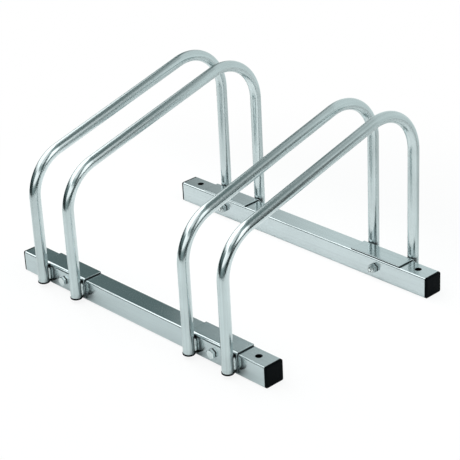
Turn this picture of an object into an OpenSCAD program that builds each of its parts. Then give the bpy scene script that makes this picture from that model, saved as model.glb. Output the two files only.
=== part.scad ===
// Floor-standing bike rack for two bicycles.
// Two square floor rails carry two pairs of bent tube hoops. A wheel stands in the slot of a pair.
// Each end of a pair is welded to an angle bracket, which is bolted over a rail.
// X runs along the rails, Y from the low side of the hoops to the high side, and Z up.
// The origin is on the floor, under the middle of the rack.

/* [Floor rails] */
// Length of steel tube that runs on past the brackets at each end of a rail
rail_overhang = 38; // [32:1:120]
// Outer width and height of the square rail tube
rail_size = 25; // [22:0.5:32]
// Wall thickness of the rail tube
rail_wall = 1.5; // [1:0.1:2.5]
// Outer radius of the long corners of the rail tube
rail_corner_radius = 2; // [1:0.1:3]
// Distance between the centre lines of the front and rear rails
rail_pitch = 252; // [230:1:320]
// Diameter of the floor bolt holes, one near each end of a rail
floor_hole_diameter = 8; // [6:0.5:10]
// Distance from the end of the steel tube to the middle of its floor bolt hole
floor_hole_inset = 19.5; // [18:0.5:25]

/* [Rail end caps] */
// Thickness of the head of a cap, which stands outside the tube
cap_head_thickness = 3; // [2:0.5:5]
// Width of the bevel round the face of the head
cap_bevel = 1; // [0.4:0.1:1.8]
// Length of the hollow stem inside the tube
cap_stem_length = 11; // [8:0.5:12.5]
// Wall thickness of the hollow stem
cap_stem_wall = 1.6; // [1:0.1:2.5]
// Height of the gripping ribs above the stem
cap_rib_height = 0.8; // [0.4:0.1:1.2]
// Width of one gripping rib along the stem
cap_rib_width = 1.2; // [0.8:0.1:2]
// Gap between the ribs and the wall of the tube
cap_clearance = 0.1; // [0.05:0.05:0.3]

/* [Hoops] */
// Outer diameter of the round hoop tube
tube_diameter = 13; // [10:0.5:16]
// Wall thickness of the hoop tube
tube_wall = 1.2; // [0.8:0.1:2]
// Distance between the centre lines of the two hoops of a pair, which sets the wheel slot
hoop_pitch = 59; // [50:1:75]
// Distance between the middles of the left and right pairs
pair_pitch = 246; // [180:1:500]
// Height of the front knee, where the lines of front leg and slope would cross
front_knee_height = 149; // [130:1:165]
// Height of the rear knee, where the lines of slope and rear leg would cross
rear_knee_height = 226; // [200:1:260]
// Centre line radius of the front bend
front_bend_radius = 51; // [35:1:60]
// Centre line radius of the rear bend
rear_bend_radius = 54; // [35:1:60]
// Height of the cut ends of the tube above the floor
tube_end_height = 6; // [4:0.5:7]

/* [Foot plugs] */
// How far the rim of a plug stands out past the tube all round
plug_rim_overhang = 0.5; // [0.2:0.1:1]
// Thickness of the rim of a plug
plug_rim_thickness = 1.8; // [1:0.1:2.5]
// Width of the bevel round the underside of the rim
plug_bevel = 0.5; // [0.2:0.1:0.9]
// Length of the hollow stem inside the tube
plug_stem_length = 10; // [7:0.5:16]
// Wall thickness of the hollow stem
plug_stem_wall = 1.4; // [1:0.1:1.8]
// Height of the gripping ribs above the stem
plug_rib_height = 0.5; // [0.3:0.1:0.8]
// Gap between the ribs and the wall of the tube
plug_clearance = 0.1; // [0.05:0.05:0.2]

/* [Angle brackets] */
// Sheet thickness of the brackets
bracket_thickness = 2; // [1.5:0.1:3]
// How far the top flange stops short of the far edge of the rail
bracket_setback = 0.8; // [0:0.1:4]
// How far the outer flange stops above the floor
bracket_lift = 3; // [1:0.5:4]

/* [Bracket bolts] */
// Diameter of the bolts
bolt_diameter = 6; // [5:0.5:8]
// Width of the hexagon heads and nuts across their flats
hex_flats = 10; // [9:0.5:13]
// Height of a bolt head
bolt_head_height = 4; // [3:0.5:6]
// Height of a nut
nut_height = 5; // [4:0.5:7]
// Length of bolt that stands out past the nut
bolt_tail = 3; // [1:0.5:6]
// Height of the bolts above the floor
bolt_height = 13.5; // [11.5:0.5:15]
// Room between a bolt and its holes, on the diameter
bolt_hole_room = 0.6; // [0.2:0.1:1]
// Room between a bolt and the thread of its nut, on the diameter
bolt_thread_room = 0.1; // [0.05:0.05:0.2]

/* [Weld seams] */
// Radius of a weld bead
weld_radius = 2.2; // [1.6:0.1:2.6]
// Height of the lower end of the beads above the floor
weld_bottom = 7.5; // [6.5:0.5:9]
// Gap between the upper end of the beads and the start of the bracket's bend
weld_top_gap = 0.5; // [0:0.1:3]

/* [Hidden] */
$fn = 96;
quarter_turn = 90;
half_turn = 180;
// Sides of the arrangement: minus one is left or front, plus one is right or rear
left = -1;
right = 1;
front = -1;
rear = 1;
// Extra length of the tools that cut holes
overrun = rail_wall;

tube_radius = tube_diameter / 2;
tube_bore = tube_diameter - 2 * tube_wall;
rail_half = rail_size / 2;
rail_bore = rail_size - 2 * rail_wall;
rail_bore_corner = rail_corner_radius - rail_wall;

// The legs stand against the outer flanges of the brackets
flange_face = rail_half + bracket_thickness;
leg_offset = flange_face + tube_radius;
leg_y = rail_pitch / 2 + leg_offset;
slope_angle = atan2(rear_knee_height - front_knee_height, 2 * leg_y);
front_turn = quarter_turn - slope_angle;
rear_turn = quarter_turn + slope_angle;
front_tangent = front_bend_radius * tan(front_turn / 2);
rear_tangent = rear_bend_radius * tan(rear_turn / 2);
front_leg_top = front_knee_height - front_tangent;
rear_leg_top = rear_knee_height - rear_tangent;
knee_distance = 2 * leg_y / cos(slope_angle);
slope_length = knee_distance - front_tangent - rear_tangent;
// Bending draws the wall a little thinner, and each straight runs on into its bend to meet it
bend_draw = 0.05;
bend_lap = 0.5;

// A bracket is as long as its pair of hoops is wide
bracket_length = hoop_pitch + tube_diameter;
bracket_bend = rail_corner_radius + bracket_thickness;
bracket_top = rail_size + bracket_thickness;
rail_length = pair_pitch + bracket_length + 2 * rail_overhang;

bolt_hole = bolt_diameter + bolt_hole_room;
nut_bore = bolt_diameter + bolt_thread_room;
bolt_grip = bracket_thickness + rail_size + nut_height + bolt_tail;
bolt_point_share = 0.125;
bolt_point = bolt_point_share * bolt_diameter;
// Heads and nuts are turned down from a rim just inside their flats
hex_rim_share = 0.95;
hex_chamfer_angle = 30;
hex_corners = hex_flats / cos(half_turn / 6);
hex_rim_radius = hex_rim_share * hex_flats / 2;
hex_blank_radius = hex_corners / 2 / hex_rim_share;
hex_chamfer_drop = (hex_blank_radius - hex_rim_radius) * tan(hex_chamfer_angle);

cap_ribs = 3;
plug_ribs = 3;
plug_rim_radius = tube_radius + plug_rim_overhang;
plug_rib_radius = tube_bore / 2 - plug_clearance;
plug_stem_radius = plug_rib_radius - plug_rib_height;

// A weld bead is centred on the skin of the tube, and sinks a part of its radius into the flange
weld_sink_share = 0.3;
weld_centre_y = tube_radius - (1 - weld_sink_share) * weld_radius;
weld_centre_x = sqrt(tube_radius * tube_radius - weld_centre_y * weld_centre_y);
weld_length = bracket_top - bracket_bend - weld_top_gap - weld_bottom;

steel = [0.74, 0.79, 0.79];
rail_steel = [0.66, 0.71, 0.72];
bolt_steel = [0.80, 0.84, 0.83];
weld_steel = [0.60, 0.65, 0.65];
black_plastic = [0.05, 0.06, 0.07];

// A square with round corners, or sharp ones where no radius is left
module rounded_square(size, radius) {
    if (radius > 0) {
        square([size, size - 2 * radius], center = true);
        square([size - 2 * radius, size], center = true);
        for (x = [-1, 1], y = [-1, 1])
            translate([x * (size / 2 - radius), y * (size / 2 - radius)])
                circle(r = radius);
    } else {
        square(size, center = true);
    }
}

// Lays an outline drawn in X and Y across the rail, and runs it along X
module along_rail(length) {
    rotate([quarter_turn, 0, quarter_turn])
        linear_extrude(length)
            children();
}

// Puts a piece at one end of a pair, with -Y pointing outwards from the rail's centre line
module at_pair_end(side, row) {
    translate([side * pair_pitch / 2, row * rail_pitch / 2, 0])
        rotate([0, 0, row == rear ? half_turn : 0])
            children();
}

// Lays a piece that is drawn upwards along a bolt's axis, running inwards from a place across the rail
module on_bolt_axis(start) {
    translate([0, start, bolt_height])
        rotate([-quarter_turn, 0, 0])
            children();
}

// One square floor rail with its floor bolt holes and bracket bolt holes
module floor_rail(row) {
    color(rail_steel)
    difference() {
        translate([-rail_length / 2, row * rail_pitch / 2, rail_half])
            along_rail(rail_length)
                rounded_square(rail_size, rail_corner_radius);
        translate([-rail_length / 2 - overrun, row * rail_pitch / 2, rail_half])
            along_rail(rail_length + 2 * overrun)
                rounded_square(rail_bore, rail_bore_corner);
        for (side = [left, right])
            translate([side * (rail_length / 2 - floor_hole_inset), row * rail_pitch / 2, -overrun])
                cylinder(d = floor_hole_diameter, h = rail_size + 2 * overrun);
        for (side = [left, right])
            at_pair_end(side, row)
                on_bolt_axis(-rail_half - overrun)
                    cylinder(d = bolt_hole, h = rail_size + 2 * overrun);
    }
}

// Outline of the bevelled head, seen from a side of the rail, with the tube's end at X = 0
module cap_head_outline() {
    polygon([
        [0, -rail_half],
        [cap_head_thickness - cap_bevel, -rail_half],
        [cap_head_thickness, cap_bevel - rail_half],
        [cap_head_thickness, rail_half - cap_bevel],
        [cap_head_thickness - cap_bevel, rail_half],
        [0, rail_half]
    ]);
}

// Head of a cap: the tube's own section with a bevel on the four edges of its face
module cap_head() {
    intersection() {
        along_rail(cap_head_thickness)
            rounded_square(rail_size, rail_corner_radius);
        translate([0, 0, -rail_half])
            linear_extrude(rail_size)
                cap_head_outline();
        translate([0, rail_half, 0])
            rotate([quarter_turn, 0, 0])
                linear_extrude(rail_size)
                    cap_head_outline();
    }
}

// Hollow stem with ribs that grip the inside of the tube
module cap_stem() {
    stem = rail_bore - 2 * cap_clearance - 2 * cap_rib_height;
    rib_step = cap_stem_length / (cap_ribs + 0.5);
    difference() {
        union() {
            translate([-cap_stem_length, 0, 0])
                along_rail(cap_stem_length)
                    square(stem, center = true);
            for (i = [1:cap_ribs])
                translate([-i * rib_step - cap_rib_width / 2, 0, 0])
                    along_rail(cap_rib_width)
                        rounded_square(rail_bore - 2 * cap_clearance, rail_bore_corner);
        }
        translate([-cap_stem_length - cap_stem_wall, 0, 0])
            along_rail(cap_stem_length)
                square(stem - 2 * cap_stem_wall, center = true);
    }
}

// One plastic end cap, pushed into the end of a rail
module rail_cap(side, row) {
    color(black_plastic)
    translate([side * rail_length / 2, row * rail_pitch / 2, rail_half])
        rotate([0, 0, side == left ? half_turn : 0]) {
            cap_head();
            cap_stem();
        }
}

// Section of the hoop tube, with its wall drawn thinner from both sides where it is bent
module tube_section(draw) {
    difference() {
        circle(r = tube_radius - draw);
        circle(r = tube_bore / 2 + draw);
    }
}

// A bend in the plane of the hoop, from one angle over a turn, seen along -X
module tube_bend(radius, start, turn) {
    rotate([quarter_turn, 0, quarter_turn])
        rotate([0, 0, start])
            rotate_extrude(angle = turn)
                translate([radius, 0])
                    tube_section(bend_draw);
}

// One hoop: a round tube bent up from the front leg, along the slope and down the rear leg
module hoop(side, place) {
    color(steel)
    translate([side * pair_pitch / 2 + place * hoop_pitch / 2, 0, 0]) {
        translate([0, -leg_y, tube_end_height])
            linear_extrude(front_leg_top - tube_end_height + bend_lap)
                tube_section(0);
        translate([0, front_bend_radius - leg_y, front_leg_top])
            tube_bend(front_bend_radius, half_turn - front_turn, front_turn);
        translate([0, -leg_y, front_knee_height])
            rotate([-front_turn, 0, 0])
                translate([0, 0, front_tangent - bend_lap])
                    linear_extrude(slope_length + 2 * bend_lap)
                        tube_section(0);
        translate([0, leg_y - rear_bend_radius, rear_leg_top])
            tube_bend(rear_bend_radius, 0, rear_turn);
        translate([0, leg_y, tube_end_height])
            linear_extrude(rear_leg_top - tube_end_height + bend_lap)
                tube_section(0);
    }
}

// Section of a bracket across the rail: top flange, bend and outer flange
module bracket_outline() {
    bend_y = bracket_bend - flange_face;
    bend_z = bracket_top - bracket_bend;
    translate([bend_y, rail_size])
        square([rail_half - bracket_setback - bend_y, bracket_thickness]);
    translate([-flange_face, bracket_lift])
        square([bracket_thickness, bend_z - bracket_lift]);
    translate([bend_y, bend_z])
        intersection() {
            difference() {
                circle(r = bracket_bend);
                circle(r = rail_corner_radius);
            }
            translate([-bracket_bend, 0])
                square(bracket_bend);
        }
}

// One sheet steel angle bracket, which lies on the rail and covers its outer face
module bracket(side, row) {
    color(steel)
    at_pair_end(side, row)
        difference() {
            translate([-bracket_length / 2, 0, 0])
                along_rail(bracket_length)
                    bracket_outline();
            on_bolt_axis(-flange_face - overrun)
                cylinder(d = bolt_hole, h = bracket_thickness + 2 * overrun);
        }
}

// One fillet weld in the groove between a leg and the flange, on one side of the leg
module weld_bead(direction) {
    difference() {
        translate([direction * weld_centre_x, weld_centre_y, weld_bottom + weld_radius]) {
            cylinder(r = weld_radius, h = weld_length - 2 * weld_radius);
            sphere(r = weld_radius);
            translate([0, 0, weld_length - 2 * weld_radius])
                sphere(r = weld_radius);
        }
        translate([0, 0, weld_bottom - weld_radius])
            cylinder(r = tube_radius, h = weld_length + 2 * weld_radius);
        translate([-tube_diameter, tube_radius, weld_bottom - weld_radius])
            cube([2 * tube_diameter, weld_radius, weld_length + 2 * weld_radius]);
    }
}

// The four weld beads that hold the two legs of a pair to one bracket
module weld_seams(side, row) {
    color(weld_steel)
    at_pair_end(side, row)
        for (place = [left, right], direction = [left, right])
            translate([place * hoop_pitch / 2, -leg_offset, 0])
                weld_bead(direction);
}

// Turned blank whose far end slopes away from the rim, as the corners of a hexagon are turned down
module hex_blank(height) {
    rotate_extrude()
        polygon([
            [0, 0],
            [hex_blank_radius, 0],
            [hex_blank_radius, height - hex_chamfer_drop],
            [hex_rim_radius, height],
            [0, height]
        ]);
}

// Hexagon prism that stands pointed at the top
module hex_prism(height) {
    rotate([0, 0, quarter_turn])
        cylinder(d = hex_corners, h = height, $fn = 6);
}

// Hexagon head bolt: head outside the bracket, shank through bracket and rail, end past the nut
module bolt(side, row) {
    color(bolt_steel)
    at_pair_end(side, row)
        on_bolt_axis(-flange_face) {
            rotate([half_turn, 0, 0])
                intersection() {
                    hex_prism(bolt_head_height);
                    hex_blank(bolt_head_height);
                }
            cylinder(d = bolt_diameter, h = bolt_grip - bolt_point);
            translate([0, 0, bolt_grip - bolt_point])
                cylinder(d1 = bolt_diameter, d2 = bolt_diameter - 2 * bolt_point, h = bolt_point);
        }
}

// Hexagon nut on the inner face of the rail, turned down at both ends
module nut(side, row) {
    color(bolt_steel)
    at_pair_end(side, row)
        on_bolt_axis(rail_half)
            difference() {
                intersection() {
                    hex_prism(nut_height);
                    hex_blank(nut_height);
                    translate([0, 0, nut_height])
                        rotate([half_turn, 0, 0])
                            hex_blank(nut_height);
                }
                translate([0, 0, -overrun])
                    cylinder(d = nut_bore, h = nut_height + 2 * overrun);
            }
}

// Rim of a foot plug under the end of the tube, bevelled below and pressed flat by the bracket
module plug_rim() {
    difference() {
        rotate_extrude()
            polygon([
                [0, -plug_rim_thickness],
                [plug_rim_radius - plug_bevel, -plug_rim_thickness],
                [plug_rim_radius, plug_bevel - plug_rim_thickness],
                [plug_rim_radius, 0],
                [0, 0]
            ]);
        translate([-plug_rim_radius, tube_radius, -plug_rim_thickness - overrun])
            cube([2 * plug_rim_radius, plug_rim_overhang + overrun, plug_rim_thickness + 2 * overrun]);
    }
}

// Hollow stem of a foot plug, with ribs that grip the inside of the tube
module plug_stem() {
    rib_step = plug_stem_length / (plug_ribs + 0.5);
    rib_width = rib_step / 3;
    difference() {
        union() {
            cylinder(r = plug_stem_radius, h = plug_stem_length);
            for (i = [1:plug_ribs])
                translate([0, 0, i * rib_step - rib_width / 2])
                    cylinder(r = plug_rib_radius, h = rib_width);
        }
        translate([0, 0, plug_stem_wall])
            cylinder(r = plug_stem_radius - plug_stem_wall, h = plug_stem_length);
    }
}

// One plastic foot plug, pushed up into the end of a leg
module foot_plug(side, place, row) {
    color(black_plastic)
    translate([side * pair_pitch / 2 + place * hoop_pitch / 2, row * leg_y, tube_end_height])
        rotate([0, 0, row == rear ? half_turn : 0]) {
            plug_rim();
            plug_stem();
        }
}

floor_rail(front);  // front_rail
floor_rail(rear);  // rear_rail
rail_cap(left, front);  // rail_cap_front_left
rail_cap(right, front);  // rail_cap_front_right
rail_cap(left, rear);  // rail_cap_rear_left
rail_cap(right, rear);  // rail_cap_rear_right
hoop(left, left);  // hoop_left_outer
hoop(left, right);  // hoop_left_inner
hoop(right, left);  // hoop_right_inner
hoop(right, right);  // hoop_right_outer
bracket(left, front);  // bracket_front_left
bracket(right, front);  // bracket_front_right
bracket(left, rear);  // bracket_rear_left
bracket(right, rear);  // bracket_rear_right
weld_seams(left, front);  // weld_seams_front_left
weld_seams(right, front);  // weld_seams_front_right
weld_seams(left, rear);  // weld_seams_rear_left
weld_seams(right, rear);  // weld_seams_rear_right
bolt(left, front);  // bolt_front_left
bolt(right, front);  // bolt_front_right
bolt(left, rear);  // bolt_rear_left
bolt(right, rear);  // bolt_rear_right
nut(left, front);  // nut_front_left
nut(right, front);  // nut_front_right
nut(left, rear);  // nut_rear_left
nut(right, rear);  // nut_rear_right
foot_plug(left, left, front);  // foot_plug_left_outer_front
foot_plug(left, left, rear);  // foot_plug_left_outer_rear
foot_plug(left, right, front);  // foot_plug_left_inner_front
foot_plug(left, right, rear);  // foot_plug_left_inner_rear
foot_plug(right, left, front);  // foot_plug_right_inner_front
foot_plug(right, left, rear);  // foot_plug_right_inner_rear
foot_plug(right, right, front);  // foot_plug_right_outer_front
foot_plug(right, right, rear);  // foot_plug_right_outer_rear
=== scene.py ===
# %% [markdown]
# # A low bike rack of zinc-plated steel tube
# Four bent tube hoops stand on two square floor rails, and a wheel is held between the hoops of a
# pair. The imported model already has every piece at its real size. This script gives the pieces
# their surfaces, and remakes the ones whose real look needs finer shape: the hoops, the brackets,
# the welds, the bolts and nuts, and the rail caps. A remade piece takes the place and the size of
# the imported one, so that the rack still measures what its solids measure.

# %% Load the frame
import math
import random

import bmesh
import bpy
from mathutils import Matrix, Quaternion, Vector


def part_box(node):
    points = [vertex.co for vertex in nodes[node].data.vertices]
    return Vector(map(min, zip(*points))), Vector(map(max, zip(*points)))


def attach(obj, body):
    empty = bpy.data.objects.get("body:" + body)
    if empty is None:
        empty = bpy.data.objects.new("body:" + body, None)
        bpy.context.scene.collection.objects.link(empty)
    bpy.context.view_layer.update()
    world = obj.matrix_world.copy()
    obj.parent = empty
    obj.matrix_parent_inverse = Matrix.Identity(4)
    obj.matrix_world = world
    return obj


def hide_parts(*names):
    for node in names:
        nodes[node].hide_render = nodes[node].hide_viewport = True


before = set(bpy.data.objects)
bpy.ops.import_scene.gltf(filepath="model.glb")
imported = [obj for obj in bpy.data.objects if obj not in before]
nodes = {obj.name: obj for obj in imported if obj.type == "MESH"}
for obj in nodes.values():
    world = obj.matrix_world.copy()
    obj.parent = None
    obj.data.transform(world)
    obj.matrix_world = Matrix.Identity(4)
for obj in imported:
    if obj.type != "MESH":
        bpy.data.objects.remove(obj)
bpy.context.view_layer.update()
mm = 0.001

# %% [markdown]
# ## Where the camera stands
# The camera was found by matching the rack's own edges with the picture: it stands to the right of
# the rack and in front of it, looks down on it, and is turned a little about its line of sight. It
# could be placed by eye, but long straight rails show every small fault of a camera's place. A long
# lens at a distance keeps them nearly parallel.

# %% Camera
camera_place = Vector((1.20552, -1.11054, 0.86795))
camera_aim = Vector((0.00083, 0.00671, 0.06208))
camera_roll = math.radians(-2.951)
sensor_width = 36
focal_length = 126.35

camera_data = bpy.data.cameras.new("camera")
camera_data.sensor_width = sensor_width
camera_data.lens = focal_length
camera = bpy.data.objects.new("camera", camera_data)
bpy.context.scene.collection.objects.link(camera)
line_of_sight = (camera_aim - camera_place).to_track_quat("-Z", "Y")
camera.rotation_mode = "QUATERNION"
camera.rotation_quaternion = line_of_sight @ Quaternion((0, 0, 1), camera_roll)
camera.location = camera_place
bpy.context.scene.camera = camera
bpy.context.scene.view_settings.view_transform = "Standard"
print("camera distance:", round((camera_aim - camera_place).length, 3))

# %% [markdown]
# ## Node helpers
# A material or a world is a small network of nodes. These helpers add a node, link what it reads,
# and hand back its output, so that a finish can be written as a few short sums. The same network
# could be drawn by hand in the shader editor, but a script is easier to change and to compare.

# %% Node helpers
def add_node(tree, kind, **settings):
    """Adds a node and gives it its settings."""
    made = tree.nodes.new(kind)
    for key, value in settings.items():
        setattr(made, key, value)
    return made


def feed(tree, socket, value):
    """Gives a socket a fixed value, or links it to another node's output."""
    if isinstance(value, bpy.types.NodeSocket):
        tree.links.new(value, socket)
    else:
        socket.default_value = value


def sum_of(tree, operation, *values):
    """Works out one step of arithmetic, such as MULTIPLY, on numbers or outputs."""
    made = add_node(tree, "ShaderNodeMath", operation=operation)
    for socket, value in zip(made.inputs, values):
        feed(tree, socket, value)
    return made.outputs[0]


def ramp(tree, value, low, high, to_low=0.0, to_high=1.0, smooth=True):
    """Is to_low up to the value low, to_high from the value high on, and passes between them."""
    made = add_node(tree, "ShaderNodeMapRange")
    made.interpolation_type = "SMOOTHSTEP" if smooth else "LINEAR"
    for socket, number in zip(made.inputs, (value, low, high, to_low, to_high)):
        feed(tree, socket, number)
    return made.outputs[0]


def mix(tree, share, first, second):
    """Mixes two shaders: the first alone at a share of 0, and the second alone at 1."""
    made = add_node(tree, "ShaderNodeMixShader")
    for socket, value in zip(made.inputs, (share, first.outputs[0], second.outputs[0])):
        feed(tree, socket, value)
    return made


print("node helpers:", [helper.__name__ for helper in (add_node, feed, sum_of, ramp, mix)])

# %% [markdown]
# ## The room round the rack
# Bright zinc shows its surroundings, so the surroundings are what makes it look like zinc. The
# reflections in the picture's tubes tell where the studio is light and dark. What stands far off
# is held by the world, as soft-edged windows of azimuth and elevation: a large soft box high on
# the left, a smaller one on the right, a faint ceiling, and a dark room past the table's edge. An
# image of a room could do this too, but a few windows are lighter and each can be moved.

# %% World
world = bpy.data.worlds.new("studio")
bpy.context.scene.world = world
world.use_nodes = True
room = world.node_tree
room.nodes.clear()
direction = add_node(room, "ShaderNodeTexCoord").outputs["Generated"]
apart = add_node(room, "ShaderNodeSeparateXYZ")
feed(room, apart.inputs[0], direction)
# Azimuth is 0 straight behind the rack and grows to the right, and the paper hides its seam
seam = 54
turned = math.radians(seam + 180)
across = sum_of(room, "SUBTRACT", sum_of(room, "MULTIPLY", apart.outputs[0], math.cos(turned)),
                sum_of(room, "MULTIPLY", apart.outputs[1], math.sin(turned)))
along = sum_of(room, "ADD", sum_of(room, "MULTIPLY", apart.outputs[0], math.sin(turned)),
               sum_of(room, "MULTIPLY", apart.outputs[1], math.cos(turned)))
azimuth = sum_of(room, "DEGREES", sum_of(room, "ARCTAN2", across, along))
elevation = sum_of(room, "DEGREES", sum_of(room, "ARCSINE", apart.outputs[2]))
print("azimuth seam, degrees:", seam)

# %% [markdown]
# ## Windows of light
# Each window is a patch between two azimuths and two lines of elevation, which may slant. Lamps
# could do the same, but they would need a distance, and the far room has none that matters. The
# soft edges show in the tubes as gentle changes of tone.

# %% Windows of light
def window(left, right, low, high, level, soft=4):
    """A soft-edged patch of light between two azimuths, in degrees. Its lower and upper edges are
    pairs: the elevation at its left end and at its right end."""
    shift = seam + 180
    start, end = left - shift, right - shift
    inside = ramp(room, azimuth, start - soft / 2, start + soft / 2)
    before_end = ramp(room, azimuth, end - soft / 2, end + soft / 2, 1.0, 0.0)
    inside = sum_of(room, "MULTIPLY", inside, before_end)
    for edge, below, above in ((low, 0.0, 1.0), (high, 1.0, 0.0)):
        level_line = ramp(room, azimuth, start, end, edge[0], edge[1], smooth=False)
        height = sum_of(room, "SUBTRACT", elevation, level_line)
        this_side = ramp(room, height, -soft / 2, soft / 2, below, above)
        inside = sum_of(room, "MULTIPLY", inside, this_side)
    return sum_of(room, "MULTIPLY", inside, level)


dark_room = 0.04
windows = [
    window(252, 295, (14, 14), (82, 82), 2.2, soft=6),
    window(176, 252, (40, 24), (82, 82), 2.0, soft=14),
    window(170, 240, (14, 8), (44, 30), 0.18, soft=14),
    window(68.5, 94, (-4, 16), (46, 52), 2.1, soft=8),
    window(55, 62, (32, 32), (60, 60), 0.9, soft=4),
    window(108, 182, (9, 5), (14, 46), 1.35, soft=8),
    window(67, 116, (52, 40), (80, 80), 0.45, soft=8),
    window(116, 176, (36, 54), (80, 80), 1.0, soft=8),
    window(122, 184, (14, 34), (44, 62), 0.3, soft=12),
    window(118, 180, (-16, -16), (48, 60), 0.12, soft=16),
    window(98, 122, (8, 8), (40, 40), 0.06, soft=8),
    window(136, 190, (-12, -12), (12, 12), 0.2, soft=20),
    window(54, 414, (79, 79), (91, 91), 0.35, soft=5),
    window(280, 414, (0, 0), (80, 80), 0.17, soft=4),
    window(280, 345, (-50, -50), (0, 0), 0.5, soft=8),
]
light = dark_room
for patch in windows:
    light = sum_of(room, "ADD", patch, light)
print("windows of light:", len(windows))

# %% [markdown]
# ## What the zinc sees, and what the camera sees
# The zinc sees the windows, and the dark parts of the room are a little blue-green, as they show in
# it. The camera sees a plain white backdrop. A Light Path node tells the two apart, so the white
# backdrop throws no light on the rack.

# %% Two faces of the world
red_in_the_dark = 0.65
less_red = ramp(room, light, 0.0, 1.0, red_in_the_dark, 1.0, smooth=False)
tinted = add_node(room, "ShaderNodeCombineColor")
feed(room, tinted.inputs[0], sum_of(room, "MULTIPLY", light, less_red))
feed(room, tinted.inputs[1], light)
feed(room, tinted.inputs[2], light)
studio = add_node(room, "ShaderNodeBackground")
feed(room, studio.inputs["Color"], tinted.outputs[0])
backdrop = add_node(room, "ShaderNodeBackground")
feed(room, backdrop.inputs["Color"], (1.0, 1.0, 1.0, 1.0))
seen = add_node(room, "ShaderNodeLightPath")
pick = mix(room, seen.outputs["Is Camera Ray"], studio, backdrop)
output = add_node(room, "ShaderNodeOutputWorld")
feed(room, output.inputs["Surface"], pick.outputs[0])
print("world nodes:", len(room.nodes))

# %% [markdown]
# ## The paper behind the rack
# A wide sheet of pale paper hangs close behind the rack. It is near enough that each hoop sees its
# edges in another place, so it is a real sheet and not a part of the far room. Its light fades
# towards the left edge and the top. The camera looks past it to the white backdrop. It could be an
# area lamp, but a glowing sheet shows its shape in the metal and its light can fade across it.

# %% Paper
paper_y = 0.6
paper_left = -0.77
paper_right = 1.02
paper_top = 2.2
paper_bottom = -0.1
paper_full_from_left = -0.35
paper_left_share = 0.5
paper_full_to_top = 1.1
paper_top_share = 0.65
paper_tint = (0.92, 1.0, 1.0, 1.0)
paper_level = 0.95


def to_object(bm, name):
    """Turns a bmesh into a mesh object of the scene."""
    mesh = bpy.data.meshes.new(name)
    bm.to_mesh(mesh)
    bm.free()
    made = bpy.data.objects.new(name, mesh)
    bpy.context.scene.collection.objects.link(made)
    return made


def new_material(name):
    """A material, and the network of nodes inside it."""
    made = bpy.data.materials.new(name)
    made.use_nodes = True
    return made, made.node_tree


paper_middle = ((paper_left + paper_right) / 2, paper_y, (paper_bottom + paper_top) / 2)
upright = Matrix.Rotation(math.radians(90), 3, "X")
bm = bmesh.new()
bmesh.ops.create_grid(bm, x_segments=1, y_segments=1, size=0.5)
bmesh.ops.scale(bm, vec=(paper_right - paper_left, paper_top - paper_bottom, 1), verts=bm.verts)
bmesh.ops.rotate(bm, cent=(0, 0, 0), matrix=upright, verts=bm.verts)
bmesh.ops.translate(bm, vec=paper_middle, verts=bm.verts)
paper = to_object(bm, "paper")
paper.visible_camera = False
lit_paper, tree = new_material("lit paper")
tree.nodes.clear()
place = add_node(tree, "ShaderNodeSeparateXYZ")
feed(tree, place.inputs[0], add_node(tree, "ShaderNodeTexCoord").outputs["Object"])
# The sheet is full bright from a quarter of its width on, and up to half its height
towards_left = ramp(tree, place.outputs[0], paper_left, paper_full_from_left, paper_left_share, 1.0)
towards_top = ramp(tree, place.outputs[2], paper_full_to_top, paper_top, 1.0, paper_top_share)
both_ways = sum_of(tree, "MULTIPLY", towards_left, towards_top)
glow = add_node(tree, "ShaderNodeEmission")
feed(tree, glow.inputs["Color"], paper_tint)
feed(tree, glow.inputs["Strength"], sum_of(tree, "MULTIPLY", both_ways, paper_level))
surface = add_node(tree, "ShaderNodeOutputMaterial")
feed(tree, surface.inputs["Surface"], glow.outputs[0])
paper.data.materials.append(lit_paper)
print("paper size, m:", [round(d, 2) for d in paper.dimensions])

# %% [markdown]
# ## The table
# The rack stands on a small pale table, whose edge shows in the tubes as the end of the light
# floor. To the camera it is white like the backdrop, with only a breath of the rack's shadow. In
# the zinc it shows its own shading, which darkens the underside of the rails. Light from the paper
# spills on it between the rails, and towards the paper's foot it is greyer, so that the two meet in
# the tubes without a line.

# %% Table
table_radius = 0.6
table_drop = 0.2 * mm
table_sides = 96
table_tint = (0.95, 0.97, 0.97)
grey_from = 0.12
grey_to = 0.3
grey_share = 0.72

bm = bmesh.new()
bmesh.ops.create_circle(bm, cap_ends=True, segments=table_sides, radius=table_radius)
bmesh.ops.translate(bm, vec=(0, 0, -table_drop), verts=bm.verts)
table = to_object(bm, "table")
pale_table, tree = new_material("pale table")
tree.nodes.clear()
matt = add_node(tree, "ShaderNodeBsdfDiffuse")
place = add_node(tree, "ShaderNodeSeparateXYZ")
feed(tree, place.inputs[0], add_node(tree, "ShaderNodeTexCoord").outputs["Object"])
greyer = add_node(tree, "ShaderNodeCombineColor")
for socket, pale in zip(greyer.inputs, table_tint):
    feed(tree, socket, ramp(tree, place.outputs[1], grey_from, grey_to, pale, pale * grey_share))
feed(tree, matt.inputs["Color"], greyer.outputs[0])
print("table sides:", len(table.data.vertices))

# %% [markdown]
# ## The table's light
# Two emissions lie over the matt table. The spilled light lies between the rails and is there for
# the metal alone. The white glow is there for the camera alone: near the rack it lets a little of
# the real shading through, which is the rack's shadow, and further out it is the backdrop's white.

# %% Light on the table
glow_near = 0.86
glow_full = 1.0
shadow_reach = 0.25
shadow_end = 0.58
spill_level = 1.4
spill_share = 0.35
spill_starts = -0.1
spill_full = 0.02
spill_fades = 0.106
spill_ends = 0.113

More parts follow.
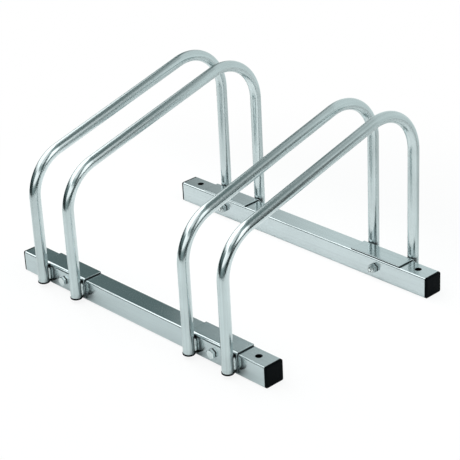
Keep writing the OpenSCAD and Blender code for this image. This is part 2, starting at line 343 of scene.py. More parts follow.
glow = add_node(tree, "ShaderNodeEmission")
seen = add_node(tree, "ShaderNodeLightPath")
from_centre = add_node(tree, "ShaderNodeVectorMath", operation="LENGTH")
feed(tree, from_centre.inputs[0], add_node(tree, "ShaderNodeTexCoord").outputs["Object"])
fade = ramp(tree, from_centre.outputs["Value"], shadow_reach, shadow_end, glow_near, glow_full)
for_camera = sum_of(tree, "MULTIPLY", seen.outputs["Is Camera Ray"], fade)
behind_front_rail = ramp(tree, place.outputs[1], spill_starts, spill_full, 0.0, spill_share)
before_rear_rail = ramp(tree, place.outputs[1], spill_fades, spill_ends, 1.0, 0.0)
between_rails = sum_of(tree, "MULTIPLY", behind_front_rail, before_rear_rail)
spill = add_node(tree, "ShaderNodeEmission")
feed(tree, spill.inputs["Strength"], spill_level)
lit = mix(tree, between_rails, matt, spill)
mixed = mix(tree, for_camera, lit, glow)
surface = add_node(tree, "ShaderNodeOutputMaterial")
feed(tree, surface.inputs["Surface"], mixed.outputs[0])
table.data.materials.append(pale_table)
print("light on the table:", spill_level, "share:", spill_share)

# %% [markdown]
# ## Bright zinc
# Zinc plate is a thin soft metal skin, a little blue-green, that follows the marks of the steel
# under it: long fine lines where tube and strip were drawn, and faint clouds where the bath left
# the skin thicker. A picture of scratches could be laid on it, but a noise that is stretched along
# the piece has no seams and no end.
#
# Close to the welds the bath plates badly over burnt steel, so the skin is dark and dull there. The
# same darkening is also painted shade: it widens low down into the shade at the legs' feet, and it
# lies on the rails, which have no welds, as painted shade alone. It could be painted on each piece.
# It is worked out from the distance to the beads instead, so it always lies where the welds are.

# %% Weld burn and painted shade near the welds
bead_radius = 2.2 * mm
bead_bottom = 7.5 * mm
bead_top = 22.5 * mm
bead_in = 4.96 * mm
bead_aside = 4.2 * mm
tube_radius = (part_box("hoop_left_outer")[1].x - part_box("hoop_left_outer")[0].x) / 2
leg_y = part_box("hoop_left_outer")[1].y - tube_radius
bracket_x = (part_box("bracket_front_right")[0].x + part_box("bracket_front_right")[1].x) / 2
leg_from_bolt = (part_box("hoop_right_outer")[1].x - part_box("hoop_right_inner")[1].x) / 2
burn_and_shade_low = 4 * mm
burn_and_shade_high = 14 * mm
burn_and_shade_spread_low = 7 * mm
burn_and_shade_spread_high = 4 * mm
burn_and_shade_full_height = 9.5 * mm
burn_and_shade_end_height = 13 * mm


def near_welds(tree, place, reach):
    """1 at a weld bead and 0 a few millimetres off it: 4 high up and 7 low down, times the reach.
    The rack is symmetric, so one bead serves."""
    apart = add_node(tree, "ShaderNodeSeparateXYZ")
    feed(tree, apart.inputs[0], place)
    from_middle = sum_of(tree, "ABSOLUTE", apart.outputs[0])
    from_bolt = sum_of(tree, "ABSOLUTE", sum_of(tree, "SUBTRACT", from_middle, bracket_x))
    from_leg = sum_of(tree, "ABSOLUTE", sum_of(tree, "SUBTRACT", from_bolt, leg_from_bolt))
    aside = sum_of(tree, "SUBTRACT", from_leg, bead_aside)
    depth = sum_of(tree, "SUBTRACT", sum_of(tree, "ABSOLUTE", apart.outputs[1]), leg_y - bead_in)
    aside_squared = sum_of(tree, "MULTIPLY", aside, aside)
    squares = sum_of(tree, "ADD", aside_squared, sum_of(tree, "MULTIPLY", depth, depth))
    off_bead = sum_of(tree, "SUBTRACT", sum_of(tree, "SQRT", squares), bead_radius)
    widest = reach * burn_and_shade_spread_low
    narrowest = reach * burn_and_shade_spread_high
    # Wider low down: there the mask is painted shade at the legs' feet more than weld burn.
    spread = ramp(tree, apart.outputs[2], burn_and_shade_low, burn_and_shade_high, widest, narrowest)
    beside = ramp(tree, off_bead, 0.0, spread, 1.0, 0.0)
    mid_height = (bead_bottom + bead_top) / 2
    from_mid_height = sum_of(tree, "ABSOLUTE", sum_of(tree, "SUBTRACT", apart.outputs[2], mid_height))
    at_height = ramp(tree, from_mid_height, burn_and_shade_full_height, burn_and_shade_end_height, 1.0, 0.0)
    return sum_of(tree, "MULTIPLY", beside, at_height)


print("leg from the bolt, mm:", round(leg_from_bolt / mm, 2))
print("bracket from the middle, mm:", round(bracket_x / mm, 2))

# %% [markdown]
# ## Helpers for a finish
# Every finish here is made of the same three things: a noise, a colour between two others, and a
# relief that bends the light without moving the surface.

# %% Finish helpers
def even_noise(tree, place, fineness, detail):
    """A noise with the same number of marks a metre in every direction."""
    noise = add_node(tree, "ShaderNodeTexNoise")
    feed(tree, noise.inputs["Vector"], place)
    feed(tree, noise.inputs["Scale"], fineness)
    feed(tree, noise.inputs["Detail"], detail)
    return noise.outputs["Fac"]


def stretched_noise(tree, place, fineness, detail):
    """A noise with its own number of marks a metre along X, Y and Z."""
    stretched = add_node(tree, "ShaderNodeMapping")
    feed(tree, stretched.inputs["Vector"], place)
    feed(tree, stretched.inputs["Scale"], fineness)
    return even_noise(tree, stretched.outputs[0], 1.0, detail)


def toned(colour, factor):
    return (*[part * factor for part in colour], 1.0)


def blend(tree, share, first, second):
    """A colour between two others."""
    made = add_node(tree, "ShaderNodeMix", data_type="RGBA")
    for number, value in ((0, share), (6, first), (7, second)):
        feed(tree, made.inputs[number], value)
    return made.outputs[2]


def bumps(tree, height, depth, strength=1.0):
    """A relief of a depth in metres, as a node whose own normal may come from another relief."""
    made = add_node(tree, "ShaderNodeBump")
    feed(tree, made.inputs["Strength"], strength)
    feed(tree, made.inputs["Distance"], depth)
    feed(tree, made.inputs["Height"], height)
    return made


print("finish helpers:", [helper.__name__ for helper in (even_noise, stretched_noise, toned, blend, bumps)])

# %% [markdown]
# ## The zinc's network
# One function makes every zinc finish, and the pieces differ only in its numbers: how fine and how
# long the marks are, how strong, and how far the darkening round the welds reaches, which is weld
# burn and painted shade together. The marks vary the colour, the roughness and the relief together,
# as real ones do. A hoop reads its marks from its place on the straight tube, and the other pieces
# read them from their place on the rack.

# %% Zinc
fine_share_of_marks = 0.6
cloud_share_of_marks = 0.4
broad_to_fine = 0.36
# The dark of burnt zinc round the welds, which also serves as painted shade.
burn_and_shade_colour = (0.03, 0.032, 0.035, 1.0)
scorched_dullness = 0.2


def zinc(name, tint, roughness, grain, coordinates="Object", clouds=26.0, waves=0.03, relief=0.004,
         variety=0.1, burn_and_shade=0.0, reach=1.0):
    """grain is how fine the marks are along X, Y and Z, in marks a metre. Broad waves, in mm, bend
    the reflections a little, and the relief of the fine marks, also in mm, frays them. Variety is
    how far the tones part, the darkening share is how much darkness lies round the welds, as weld
    burn and painted shade together, and reach is how far."""
    made, tree = new_material(name)
    in_space = add_node(tree, "ShaderNodeTexCoord").outputs["Object"]
    place = in_space
    if coordinates != "Object":
        place = add_node(tree, "ShaderNodeAttribute", attribute_name=coordinates).outputs["Vector"]
    fine = stretched_noise(tree, place, grain, 2.0)
    broad = stretched_noise(tree, place, [g * broad_to_fine for g in grain], 0.0)
    cloud = even_noise(tree, place, clouds, 3.0)
    fine_part = sum_of(tree, "MULTIPLY", ramp(tree, fine, 0.3, 0.7, smooth=False), fine_share_of_marks)
    cloud_part = sum_of(tree, "MULTIPLY", ramp(tree, cloud, 0.3, 0.7, smooth=False), cloud_share_of_marks)
    both = sum_of(tree, "ADD", fine_part, cloud_part)
    colour = blend(tree, both, toned(tint, 1 - variety), toned(tint, 1 + variety))
    dullness = ramp(tree, both, 0.0, 1.0, roughness * 1.3, roughness * 0.75, smooth=False)
    # The darkening round the welds is weld burn and painted shade together.
    if burn_and_shade:
        burn_and_shade_share = sum_of(tree, "MULTIPLY", near_welds(tree, in_space, reach), burn_and_shade)
        colour = blend(tree, burn_and_shade_share, colour, burn_and_shade_colour)
        dullness = sum_of(tree, "ADD", dullness, sum_of(tree, "MULTIPLY", burn_and_shade_share, scorched_dullness))
    waved = bumps(tree, broad, waves * mm)
    scratched = bumps(tree, fine, relief * mm)
    feed(tree, scratched.inputs["Normal"], waved.outputs[0])
    shader = tree.nodes["Principled BSDF"]
    feed(tree, shader.inputs["Base Color"], colour)
    feed(tree, shader.inputs["Metallic"], 1.0)
    feed(tree, shader.inputs["Roughness"], dullness)
    feed(tree, shader.inputs["Normal"], scratched.outputs[0])
    return made


print("marks, fine and cloudy:", fine_share_of_marks, cloud_share_of_marks)

# %% [markdown]
# ## The zinc finishes
# Rails and brackets are flat strip, with long faint marks and hardly a wave; the brackets' zinc is a
# little darker, as painted shade. The hoops are drawn tube, a little wavy. Bolts are lighter, as a
# painted highlight, and nuts darker and duller, as painted shade. The dark zinc lies on torn edges,
# and is painted shade in gaps, at seats and in the roots of threads.

# %% Zinc finishes
# The rails have no welds, so their darkening near the beads is painted shade.
rail_zinc = zinc("rail zinc", (0.515, 0.58, 0.59), 0.18, (5.0, 420.0, 420.0),
                 waves=0.004, relief=0.003, variety=0.05, burn_and_shade=0.7)
hoop_zinc = zinc("hoop zinc", (0.51, 0.575, 0.58), 0.18, (420.0, 420.0, 5.0), "unbent",
                 clouds=30.0, waves=0.05, variety=0.14, burn_and_shade=0.9, reach=1.35)
# The brackets' zinc is a little darker than the rails', as painted shade.
bracket_zinc_with_painted_shade = zinc("bracket zinc with painted shade", (0.49, 0.555, 0.565), 0.17, (9.0, 420.0, 420.0),
                    waves=0.006, variety=0.06, burn_and_shade=0.85, reach=0.35)
# Bolts are lighter, a painted highlight; nuts are darker, painted shade.
bolt_zinc_with_painted_highlight = zinc("bolt zinc with painted highlight", (0.63, 0.69, 0.69), 0.16, (500.0, 500.0, 500.0),
                 clouds=300.0, waves=0.004)
nut_zinc_with_painted_shade = zinc("nut zinc with painted shade", (0.38, 0.43, 0.435), 0.22, (500.0, 500.0, 500.0),
                clouds=300.0, waves=0.004)
weld_zinc = zinc("weld zinc", (0.60, 0.67, 0.67), 0.24, (600.0, 600.0, 900.0),
                 clouds=500.0, waves=0.06, relief=0.02)
# Dark zinc: torn steel at cut ends, and painted shade in gaps, at seats and in thread roots.
dark_zinc_and_painted_shade = zinc("dark zinc and painted shade", (0.028, 0.033, 0.035), 0.42, (900.0, 900.0, 90.0),
                 clouds=700.0, waves=0.02, relief=0.01)
print("zinc finishes:", [m.name for m in bpy.data.materials if "zinc" in m.name])

# %% [markdown]
# ## Black plastic
# The caps and plugs are moulded polyethylene. It is satin rather than glossy, with a fine grain
# from the mould, and never quite black. One flat black would do from afar, but two noises, one for
# the mould's grain and one for the flow of the melt, keep it from looking painted.

# %% Plastic
mould_grain = 2600.0
flow_marks = 120.0
grain_relief = 0.03 * mm
grain_strength = 0.25
plastic_shine = 0.025


def plastic(name, colour, roughness):
    made, tree = new_material(name)
    place = add_node(tree, "ShaderNodeTexCoord").outputs["Object"]
    mould = even_noise(tree, place, mould_grain, 2.0)
    flow = even_noise(tree, place, flow_marks, 2.0)
    satin = ramp(tree, flow, 0.3, 0.7, roughness * 0.85, roughness * 1.15)
    grained = bumps(tree, mould, grain_relief, grain_strength)
    shader = tree.nodes["Principled BSDF"]
    feed(tree, shader.inputs["Base Color"], blend(tree, flow, toned(colour, 0.8), toned(colour, 1.25)))
    feed(tree, shader.inputs["Specular IOR Level"], plastic_shine)
    feed(tree, shader.inputs["Roughness"], satin)
    feed(tree, shader.inputs["Normal"], grained.outputs[0])
    return made


black_plastic = plastic("black plastic", (0.0012, 0.0021, 0.0028), 0.45)
print("plastic:", black_plastic.name)

# %% [markdown]
# ## Dress the imported pieces
# The rails and foot plugs keep their imported shapes and only take a material. The other pieces take
# one here too, but are remade further down, where the nuts get their own darker and duller zinc,
# which is painted shade. A piece's finish is looked up by how its name begins, since the left and
# right ones are alike.

# %% Materials on the imported pieces
finishes = {
    "front_rail": rail_zinc,
    "rear_rail": rail_zinc,
    "rail_cap": black_plastic,
    "foot_plug": black_plastic,
    "bracket": bracket_zinc_with_painted_shade,
    "bolt": bolt_zinc_with_painted_highlight,
    "nut": bolt_zinc_with_painted_highlight,
    "weld_seams": weld_zinc,
    "hoop": hoop_zinc,
}
for name, piece in nodes.items():
    finish = next(finishes[start] for start in finishes if name.startswith(start))
    for material_slot in piece.material_slots:
        material_slot.material = finish
print("packed pieces dressed:", len(nodes))

# %% [markdown]
# ## Hoops
# A hoop is one tube on a bending machine: a straight leg, a bend, a straight slope, a second bend
# and the long rear leg. The same steps make it here. A ring is extruded up the leg, then extruded
# and turned a few degrees at a time about the middle of each bend. Every ring also remembers where
# it was on the straight tube, so that the drawn lines of the zinc follow the tube round its bends.

# %% Hoop sizes
tube_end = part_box("hoop_left_outer")[0].z
tube_wall = 1.2 * mm
front_knee = 149 * mm
rear_knee = 225.9 * mm
front_radius = 51 * mm
rear_radius = 54 * mm
slope = math.atan2(rear_knee - front_knee, 2 * leg_y)
front_turn = math.pi / 2 - slope
rear_turn = math.pi / 2 + slope
front_leg_top = front_knee - front_radius * math.tan(front_turn / 2)
rear_leg_top = rear_knee - rear_radius * math.tan(rear_turn / 2)
slope_length = 2 * leg_y / math.cos(slope) - (front_knee - front_leg_top) - (rear_knee - rear_leg_top)
print("slope degrees:", round(math.degrees(slope), 2), "slope length:", round(slope_length / mm, 1))

# %% [markdown]
# ## From a bmesh to a piece of the rack
# A shape is built as a bmesh, which is a mesh that operators can still change, and then becomes an
# object with a material, in the place of the imported piece. Every remade piece goes through the
# same steps, so they are functions. Edges could be marked sharp by hand, but an angle does it for
# all of them at once.

# %% Piece helpers
def finish_piece(bm, name, material, slot, *stands_for, smooth_angle=35):
    """Makes a mesh object of a bmesh, shades it smooth up to an angle, and sets it on the rack.
    Where some faces have the second material, it is the dark zinc of torn cut ends, and painted shade in gaps
    and thread roots."""
    bmesh.ops.recalc_face_normals(bm, faces=bm.faces)
    for face in bm.faces:
        face.smooth = True
    for edge in bm.edges:
        if edge.is_manifold and edge.calc_face_angle() > math.radians(smooth_angle):
            edge.smooth = False
    made = to_object(bm, name)
    made.data.materials.append(material)
    if any(face.material_index == 1 for face in made.data.polygons):
        made.data.materials.append(dark_zinc_and_painted_shade)
    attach(made, "root")
    if stands_for:
        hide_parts(*stands_for)
    return made


def pull(bm, edges, move):
    """Extrudes edges, moves the new ones, and hands back the new edges and their vertices."""
    made = bmesh.ops.extrude_edge_only(bm, edges=edges)["geom"]
    fresh = [part for part in made if isinstance(part, bmesh.types.BMVert)]
    bmesh.ops.transform(bm, matrix=move, verts=fresh)
    known = set(fresh)
    lines = [part for part in made if isinstance(part, bmesh.types.BMEdge)]
    return [line for line in lines if known.issuperset(line.verts)], fresh


def names_of(kind):
    """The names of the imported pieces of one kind, in the order of the alphabet."""
    return [name for name in sorted(nodes) if name.startswith(kind)]


def way_of(name):
    """-1 for a piece at the front rail and 1 for one at the rear rail."""
    return -1 if "front" in name else 1


def print_sizes(made, name):
    """Prints a piece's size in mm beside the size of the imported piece."""
    low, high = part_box(name)
    made_size, packed_size = [[round(d / mm, 2) for d in size] for size in (made.dimensions, high - low)]
    print(made.name, "size:", made_size, "packed:", packed_size)


print("pieces of each kind:", {kind: len(names_of(kind)) for kind in finishes})

# %% [markdown]
# ## Bend the hoops
# A curve with a round section could make the tube in one step. Pulling the ring along step by step
# lets each ring keep its place on the straight tube, which the drawn lines of the zinc need. The
# wall is added last, as an even thickness towards the inside.

# %% Bend the hoops
sides_round = 72
leg_steps = 6
bend_step = math.radians(3)


def turn_about(y, z, angle):
    """A turn in the plane of the hoops, about a bend's middle."""
    centre = Vector((0, y, z))
    return Matrix.Translation(centre) @ Matrix.Rotation(-angle, 4, "X") @ Matrix.Translation(-centre)


def hoop(name, x):
    bm = bmesh.new()
    straight = bm.verts.layers.float_vector.new("unbent")
    ring = bmesh.ops.create_circle(bm, segments=sides_round, radius=tube_radius)["verts"]
    for vert in ring:
        vert[straight] = vert.co + Vector((x, 0, 0))
    bmesh.ops.translate(bm, verts=ring, vec=(x, -leg_y, tube_end))
    rim = bm.edges[:]

    def draw(rim, length, move):
        rim, fresh = pull(bm, rim, move)
        for vert in fresh:
            vert[straight] = vert[straight] + Vector((0, 0, length))
        return rim

    def run(rim, length, way):
        for _ in range(leg_steps):
            rim = draw(rim, length / leg_steps, Matrix.Translation(way * length / leg_steps))
        return rim

    def bend(rim, radius, y, z, turn):
        steps = round(turn / bend_step)
        for _ in range(steps):
            rim = draw(rim, radius * turn / steps, turn_about(y, z, turn / steps))
        return rim

    rim = run(rim, front_leg_top - tube_end, Vector((0, 0, 1)))
    rim = bend(rim, front_radius, front_radius - leg_y, front_leg_top, front_turn)
    rim = run(rim, slope_length, Vector((0, math.cos(slope), math.sin(slope))))
    rim = bend(rim, rear_radius, leg_y - rear_radius, rear_leg_top, rear_turn)
    run(rim, rear_leg_top - tube_end, Vector((0, 0, -1)))
    bmesh.ops.recalc_face_normals(bm, faces=bm.faces)
    bmesh.ops.solidify(bm, geom=bm.faces[:], thickness=tube_wall)
    return finish_piece(bm, name + "_tube", hoop_zinc, "hoop_steel", name)


for name in names_of("hoop"):
    low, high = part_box(name)
    print_sizes(hoop(name, (low.x + high.x) / 2), name)

# %% [markdown]
# ## Brackets
# A bracket is a strip of 2 mm sheet folded over the rail in a press. It is made the same way here:
# one edge is pulled up, spun round the fold and pulled across the rail, and the surface is then
# given its thickness. The fold is round outside and inside. Shears cut the outer part of a sheet
# bright and tear the rest, so a cut end is plated near the outer face and dark and dull further in:
# a third of the sheet is bright on top, and two thirds on the upright face. The dark part is also
# painted shade of the gap against the rail, and the same dark is painted as shade along the lower
# edge and along the free edge of a bracket that does not lie tight. So the edges are cut in three.
# A test is needed that tells how deep in the sheet a point lies.

# %% Bracket sizes
sheet = 2 * mm
fold_radius = 4 * mm
fold_steps = 10
edge_break = 0.25 * mm
hold = 0.5 * mm
bright_share_on_top = 1 / 3
bright_share_upright = 2 / 3
nearly = 0.9


def depth_in(point, face_y, top):
    """How deep a point lies under the bracket's outer surface."""
    a = abs(point.y - face_y)
    b = top - point.z
    if max(a, b) < fold_radius:
        return fold_radius - math.hypot(fold_radius - a, fold_radius - b)
    return min(a, b)


def crosses(edge, face_y, top):
    """Whether an edge runs through the sheet, from the outer surface to the inner one."""
    depths = [depth_in(vert.co, face_y, top) for vert in edge.verts]
    return abs(depths[0] - depths[1]) > nearly * sheet


print("bracket sheet, mm:", sheet / mm, "outer fold radius, mm:", fold_radius / mm)

# %% [markdown]
# ## Fold the brackets
# An angle could be cut from a block, but an edge that is spun round the fold gives an even sheet by
# itself. Short steps beside the fold and the ends keep the flats flat, since smooth shading would
# otherwise bleed the fold's curve into them.

# %% Fold the brackets
def bracket(name, low, high, way, tight):
    """way is -1 for the front brackets, whose upright face looks along -Y, and 1 for the rear. A
    tight bracket lies flat on the rail along its free edge, and gets no painted shadow line there."""
    face_y = low.y if way < 0 else high.y
    inward = Vector((0, -way, 0))
    up = Vector((0, 0, 1))
    width = high.y - low.y
    fold_start = high.z - fold_radius
    bm = bmesh.new()
    stations = [low.x, low.x + 2 * hold, high.x - 2 * hold, high.x]
    along_rail = [bm.verts.new((x, face_y, low.z)) for x in stations]
    strip = [bm.edges.new(pair) for pair in zip(along_rail, along_rail[1:])]
    for rise in (2 * hold, fold_start - low.z - 3 * hold, hold):
        strip, _ = pull(bm, strip, Matrix.Translation(up * rise))
    corners = {vert for edge in strip for vert in edge.verts}
    centre = Vector((0, face_y, fold_start)) + inward * fold_radius
    folded = bmesh.ops.spin(bm, geom=[*strip, *corners], cent=centre, axis=(1, 0, 0), dvec=(0, 0, 0),
                            angle=math.radians(90 * way), steps=fold_steps, use_merge=False)
    strip = [part for part in folded["geom_last"] if isinstance(part, bmesh.types.BMEdge)]
    for reach in (hold, width - fold_radius - 3 * hold, 2 * hold):
        strip, _ = pull(bm, strip, Matrix.Translation(inward * reach))
    bmesh.ops.recalc_face_normals(bm, faces=bm.faces)
    if next(face for face in bm.faces if abs(face.normal.z) > 0.99).normal.z < 0:
        bmesh.ops.reverse_faces(bm, faces=bm.faces)
    bmesh.ops.solidify(bm, geom=bm.faces[:], thickness=sheet)
    through = [edge for edge in bm.edges if crosses(edge, face_y, high.z)]
    bmesh.ops.subdivide_edges(bm, edges=through, cuts=2)
    bmesh.ops.recalc_face_normals(bm, faces=bm.faces)
    # Dark faces: torn steel at the cut ends, partly painted shade there too, and painted shade of the gaps
    # against the rail along the free and lower edges.
    for face in bm.faces:
        middle = face.calc_center_median()
        free_edge = not tight and abs(middle.y - face_y) > width - edge_break or middle.z < low.z + edge_break
        bright_share = bright_share_on_top if middle.z > fold_start else bright_share_upright
        cut_end = abs(face.normal.x) > nearly
        if (cut_end or free_edge) and depth_in(middle, face_y, high.z) > bright_share * sheet:
            face.material_index = 1
    sharp = [edge for edge in bm.edges if edge.calc_face_angle(0) > math.radians(60)]
    bmesh.ops.bevel(bm, geom=sharp, offset=edge_break, segments=2, profile=0.5, affect="EDGES", material=-1)
    made = finish_piece(bm, name + "_sheet", bracket_zinc_with_painted_shade, "bracket_steel", name)
    for face in made.data.polygons:
        face.use_smooth = face.material_index == 0
    return made


for name in names_of("bracket"):
    made = bracket(name, *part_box(name), way_of(name), tight=(name == "bracket_rear_left"))
    print_sizes(made, name)

# %% [markdown]
# ## Welds
# A fillet weld fills the groove between a leg and its bracket. The welder feeds the wire in steps,
# so the bead is a row of overlapping ripples, a little uneven, and it thins out at both ends. A
# ring is pulled up the groove in short steps, and each ring gets the girth of its ripple. A plain
# cylinder would fill the groove too, but would look like glue. The finished bead is then stretched
# along the rail, as molten metal spreads on the sheet.

# %% Weld beads
ripples = 9
rings_a_ripple = 5
bead_sides = 16
bead_wide = 1.25
bead_sway = 0.1 * mm
thinnest = 0.3 * mm
valley = 0.84
swell = 0.13
unevenness = 0.03
blunt_ends = 7


def girth(share, lean):
    """The bead's radius at a share of its height, with its ripples and its thin ends."""
    ripple = share * ripples % 1
    end_taper = math.sqrt(max(0.0, 1 - abs(2 * share - 1) ** blunt_ends))
    fullness = valley + swell * math.sin(math.pi * ripple) + unevenness * lean
    return max(thinnest, bead_radius * end_taper * fullness)


def bead(bm, x, y, wobble):
    """Adds one bead, upright at x and y, whose ripples are uneven by the draws of wobble."""
    known = set(bm.verts)
    count = ripples * rings_a_ripple
    lean = [wobble.uniform(-1, 1) for _ in range(ripples + 1)]
    rise = (bead_top - bead_bottom) / count
    ring = bmesh.ops.create_circle(bm, segments=bead_sides, radius=girth(0, 0))["verts"]
    bmesh.ops.translate(bm, verts=ring, vec=(x, y, bead_bottom))
    rim = list({edge for vert in ring for edge in vert.link_edges})
    bmesh.ops.contextual_create(bm, geom=rim)
    for step in range(count):
        rim, ring = pull(bm, rim, Matrix.Translation((0, 0, rise)))
        lean_here = lean[(step + 1) // rings_a_ripple]
        centre = Vector((x + bead_sway * lean_here, y))
        for vert in ring:
            spoke = (vert.co.xy - Vector((x, y))).normalized()
            vert.co.xy = centre + spoke * girth((step + 1) / count, lean_here)
    bmesh.ops.contextual_create(bm, geom=rim)
    fresh = [vert for vert in bm.verts if vert not in known]
    bmesh.ops.scale(bm, vec=(bead_wide, 1, 1), space=Matrix.Translation((-x, 0, 0)), verts=fresh)


def weld_seams(name, low, high, way):
    """The four beads of one bracket, cut off flat where they meet its upright sheet."""
    wobble = random.Random(name)
    bm = bmesh.new()
    leg_gap = (high.x - low.x) / 2 - bead_aside - bead_radius
    for side in (-1, 1):
        leg_x = (low.x + high.x) / 2 + side * leg_gap
        for aside in (-bead_aside, bead_aside):
            bead(bm, leg_x + aside, way * (leg_y - bead_in), wobble)
    sheet_face = low.y if way > 0 else high.y
    bmesh.ops.bisect_plane(bm, geom=[*bm.verts, *bm.edges, *bm.faces], plane_co=(0, sheet_face, 0),
                           plane_no=(0, -way, 0), clear_outer=True)
    bmesh.ops.holes_fill(bm, edges=[edge for edge in bm.edges if edge.is_boundary], sides=0)
    return finish_piece(bm, name + "_beads", weld_zinc, "weld_steel", name, smooth_angle=50)


for name in names_of("weld_seams"):
    print_sizes(weld_seams(name, *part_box(name), way_of(name)), name)

# %% [markdown]
# ## Threads
# A bolt's thread is rolled: a ridge that climbs one pitch a turn. Its section, one pitch high, is
# spun round the bolt's axis while every step also moves it along, so that each turn meets the next
# one. A bump in the material could fake it, but the outline against the rail would stay smooth. The
# ends of the helix are then cut off square and closed, and the tip is chamfered.

# %% Thread
thread_pitch = 1.0 * mm
thread_depth = 0.55 * mm
thread_sides = 32
bolt_radius = 3 * mm
tip_chamfer = 0.35 * mm
tip_ring = 0.65 * mm
thread_section = [(0, 0), (0, 0.13), (1, 0.44), (1, 0.69), (0, 1)]


def thread(start, tip):
    """A threaded end along Z, from start down to its tip, as a bmesh of its own."""
    bm = bmesh.new()
    points = [bm.verts.new((bolt_radius - deep * thread_depth, 0, tip + (rise - 2) * thread_pitch))
              for deep, rise in thread_section]
    ridge = [bm.edges.new(pair) for pair in zip(points, points[1:])]
    turns = math.ceil((start - tip) / thread_pitch) + 3
    climb = Vector((0, 0, thread_pitch / thread_sides))
    bmesh.ops.spin(bm, geom=[*points, *ridge], cent=(0, 0, 0), axis=(0, 0, 1), dvec=climb,
                   angle=math.tau * turns, steps=thread_sides * turns, use_merge=False)
    bmesh.ops.remove_doubles(bm, verts=bm.verts, dist=0.001 * mm)
    for height, keep in ((tip, 1), (start, -1)):
        everything = [*bm.verts, *bm.edges, *bm.faces]
        cut = bmesh.ops.bisect_plane(bm, geom=everything, plane_co=(0, 0, height), plane_no=(0, 0, -keep),
                                     clear_outer=True, dist=0.0001 * mm)["geom_cut"]
        bmesh.ops.contextual_create(bm, geom=[part for part in cut if isinstance(part, bmesh.types.BMEdge)])
    for vert in bm.verts:
        most = bolt_radius - tip_chamfer + vert.co.z - tip
        if vert.co.xy.length > most:
            vert.co.xy = vert.co.xy.normalized() * most
    bm.normal_update()
    end_face = min(bm.faces, key=lambda face: face.calc_center_median().z - face.calc_area())
    bmesh.ops.inset_individual(bm, faces=[end_face], thickness=tip_ring)
    return bm


print("thread, mm:", round(2 * bolt_radius / mm, 1), "across, pitch", round(thread_pitch / mm, 1))

# %% [markdown]
# ## Hexagons
# A bolt head is a hexagon that a shallow cone has cut back at the corners, which leaves the curved
# chamfer, and a nut has one at both ends. Cutting it with a real cone would be a boolean, whose
# faces are hard to shade. Here a six-sided ring is divided finely instead, so that its points can
# drop to the cone where they stand far out, and round rings close the ends.

# %% Hexagons
across_flats = 10 * mm
face_radius = 0.47 * across_flats
across_corners = across_flats / math.cos(math.radians(30))
chamfer_slope = math.tan(math.radians(62))
seat_gap = 0.9 * mm
flat_cuts = 7
still = Matrix.Identity(4)


def hexagon(bm, height):
    """Six flats with a corner at the top, from height 0 up, cut back by the cone at both ends."""
    ring = bmesh.ops.create_circle(bm, segments=6, radius=across_corners / 2)["verts"]
    rim = list({edge for vert in ring for edge in vert.link_edges})
    bmesh.ops.subdivide_edges(bm, edges=rim, cuts=flat_cuts)
    rim = bm.edges[:]
    foot = bm.verts[:]
    seat_rim, _ = pull(bm, rim, Matrix.Translation((0, 0, seat_gap)))
    top_rim, top = pull(bm, seat_rim, Matrix.Translation((0, 0, height - seat_gap)))
    for vert in foot:
        vert.co.z += chamfered(vert.co.xy.length)
    for vert in top:
        vert.co.z -= chamfered(vert.co.xy.length)
    return rim, top_rim


def chamfered(radius):
    """How far the cone has cut back a hexagon at this radius."""
    return (radius - face_radius) / chamfer_slope


def round_off(bm, rim, radius, height):
    """Pulls a ring to a round one of another radius and height."""
    rim, fresh = pull(bm, rim, still)
    for vert in fresh:
        vert.co.xy = vert.co.xy.normalized() * radius
        vert.co.z = height
    return rim


print("across flats, mm:", round(across_flats / mm, 1), "across corners:", round(across_corners / mm, 2))

# %% [markdown]
# ## Painted shade on bolts and nuts
# Bolts and nuts are plated in a drum. The root of a thread and the low band next to the seat take
# the dark zinc as painted shade, of the thread's creases and of the gap under a head or a nut, and a
# dark ring is put round the tip. These faces could be picked by hand. A test of a face's place picks
# them on every piece alike, and it works while the piece still lies along Z.

# %% Dull places
seat_from = 0.9 * face_radius
threaded = 12 * mm
dull_from = 0.5 * bolt_radius
dull_to = bolt_radius - 0.6 * thread_depth


def darken(bm, is_dark):
    """Gives the second material to the faces that a test picks, and the first to the others."""
    for face in bm.faces:
        face.material_index = 1 if is_dark(face.calc_center_median()) else 0


# Painted shade: the dark band stands in for the shadow of the gap at the seat.
def in_seat(middle):
    """The low band of a head or a nut, next to its seat."""
    return 0 < middle.z < seat_gap and middle.xy.length > seat_from


# Painted shade in the thread's roots, and a dark ring round the tip.
def in_thread(middle, tip):
    """The thread's root, and the dull ring round the tip."""
    return middle.z < threaded + tip and dull_from < middle.xy.length < dull_to


print("thread starts this far over the tip, mm:", round(threaded / mm, 1))

# %% [markdown]
# ## Bolts
# A bolt is made along Z, with its seat at height 0, and then turned to lie along Y. Head and shank
# could be a hexagon and a cylinder that are joined by a boolean. Pulling the head's ring inwards and
# down is simpler and leaves one skin. The threaded end is a skin of its own, and starts where the
# shank stops.

# %% Bolts
head_height = 4 * mm


def point_along(bm, base, way):
    """Turns a piece made along Z to point along Y: -1 towards the front, 1 towards the rear."""
    turn = Matrix.Rotation(math.radians(90 if way < 0 else -90), 4, "X")
    bmesh.ops.transform(bm, matrix=Matrix.Translation(base) @ turn, verts=bm.verts)


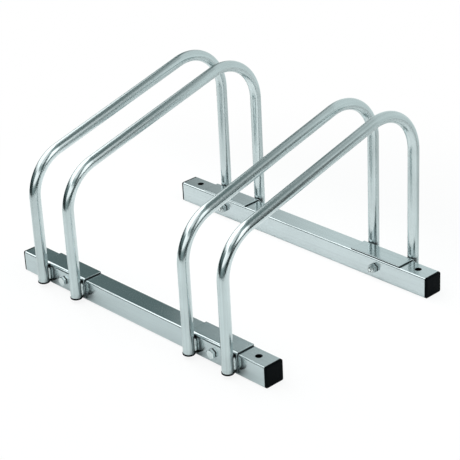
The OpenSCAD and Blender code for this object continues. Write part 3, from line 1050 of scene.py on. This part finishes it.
def bolt(name, low, high, way):
    """The grip is the length under the head, through sheet, rail and nut to the tip."""
    grip = high.y - low.y - head_height
    bm = thread(threaded - grip, -grip)
    head = bmesh.new()
    foot_rim, top_rim = hexagon(head, head_height)
    bmesh.ops.contextual_create(head, geom=round_off(head, top_rim, face_radius, head_height))
    neck = round_off(head, foot_rim, face_radius, 0)
    neck = round_off(head, neck, bolt_radius, 0)
    bmesh.ops.contextual_create(head, geom=round_off(head, neck, bolt_radius, threaded - grip))
    joined = bpy.data.meshes.new("head")
    head.to_mesh(joined)
    head.free()
    bm.from_mesh(joined)
    bpy.data.meshes.remove(joined)
    bm.normal_update()
    darken(bm, lambda middle: in_seat(middle) or in_thread(middle, -grip))
    face_y = low.y if way < 0 else high.y
    point_along(bm, ((low.x + high.x) / 2, face_y - way * head_height, (low.z + high.z) / 2), way)
    return finish_piece(bm, name + "_hexagon", bolt_zinc_with_painted_highlight, "fastener_steel", name, smooth_angle=25)


for name in names_of("bolt"):
    print_sizes(bolt(name, *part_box(name), way_of(name)), name)

# %% [markdown]
# ## Nuts
# A nut is a hexagon with a countersunk bore, so its skin runs over the free face, down the bore and
# back along the seat. The bore could have a thread too. It is a plain hole, because the bolt's
# thread fills it and hides its wall.

# %% Nuts
bore_radius = 2.62 * mm
countersink = 0.6 * mm


def nut(name, low, high, way):
    """way is -1 where the free face of the nut looks towards the front, and 1 towards the rear."""
    height = high.y - low.y
    bm = bmesh.new()
    foot_rim, rim = hexagon(bm, height)
    rim = round_off(bm, rim, face_radius, height)
    rim = round_off(bm, rim, bore_radius + countersink, height)
    rim = round_off(bm, rim, bore_radius, height - countersink)
    rim = round_off(bm, rim, bore_radius, 0)
    rim = round_off(bm, rim, face_radius, 0)
    bmesh.ops.bridge_loops(bm, edges=rim + foot_rim)
    darken(bm, in_seat)
    base_y = high.y if way < 0 else low.y
    point_along(bm, ((low.x + high.x) / 2, base_y, (low.z + high.z) / 2), way)
    return finish_piece(bm, name + "_hexagon", nut_zinc_with_painted_shade, "fastener_steel", name, smooth_angle=25)


for name in names_of("nut"):
    print_sizes(nut(name, *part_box(name), -way_of(name)), name)

# %% [markdown]
# ## Rail caps
# A cap is a flat plastic lid with a rounded rim and a hollow stem that grips inside the rail. A
# block is cut to the rail's section, its long edges are rounded like the rail's own corners, and
# the outer rim gets a smaller round. One round for all edges would be quicker, but it would not
# meet the rail.

# %% Rail caps
rail_corner = 2.2 * mm
cap_round = 1.6 * mm
rail_wall = 1.5 * mm
stem_wall = 2 * mm
stem_play = 0.1 * mm
lid_border = 0.5 * mm
hollow_share = 0.95


def rail_cap(name, low, high, way):
    """way is -1 for a cap on a rail's left end and 1 for one on its right end."""
    rail_low, rail_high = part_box("front_rail" if "front" in name else "rear_rail")
    rail_end = rail_low.x if way < 0 else rail_high.x
    outer = low.x if way < 0 else high.x
    stem_end = high.x if way < 0 else low.x
    section = Vector((high.y - low.y, high.z - low.z))
    centre = (low + high) / 2
    bm = bmesh.new()
    bmesh.ops.create_cube(bm, size=1.0)
    bmesh.ops.scale(bm, vec=(abs(outer - rail_end), section.x, section.y), verts=bm.verts)
    bmesh.ops.translate(bm, vec=((outer + rail_end) / 2, centre.y, centre.z), verts=bm.verts)
    long_edges = [edge for edge in bm.edges if abs(edge.verts[0].co.x - edge.verts[1].co.x) > cap_round]
    bmesh.ops.bevel(bm, geom=long_edges, offset=rail_corner, segments=6, profile=0.5,
                    affect="EDGES", material=-1)
    rim = [edge for edge in bm.edges if all(abs(vert.co.x - outer) < 0.01 * mm for vert in edge.verts)]
    bmesh.ops.bevel(bm, geom=rim, offset=cap_round, segments=5, profile=0.5,
                    affect="EDGES", material=-1)
    lid = next(face for face in bm.faces if face.normal.x * way > 0.99)
    bmesh.ops.inset_individual(bm, faces=[lid], thickness=lid_border)
    back = next(face for face in bm.faces if face.normal.x * way < -0.99)
    bmesh.ops.inset_individual(bm, faces=[back], thickness=rail_wall + stem_play)
    stem = bmesh.ops.extrude_discrete_faces(bm, faces=[back])["faces"][0]
    bmesh.ops.translate(bm, vec=(stem_end - rail_end, 0, 0), verts=stem.verts)
    bmesh.ops.inset_individual(bm, faces=[stem], thickness=stem_wall)
    hollow = bmesh.ops.extrude_discrete_faces(bm, faces=[stem])["faces"][0]
    bmesh.ops.translate(bm, vec=((rail_end - stem_end) * hollow_share, 0, 0), verts=hollow.verts)
    return finish_piece(bm, name + "_lid", black_plastic, "cap_plastic", name, smooth_angle=40)


for name in names_of("rail_cap"):
    print_sizes(rail_cap(name, *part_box(name), -1 if "left" in name else 1), name)
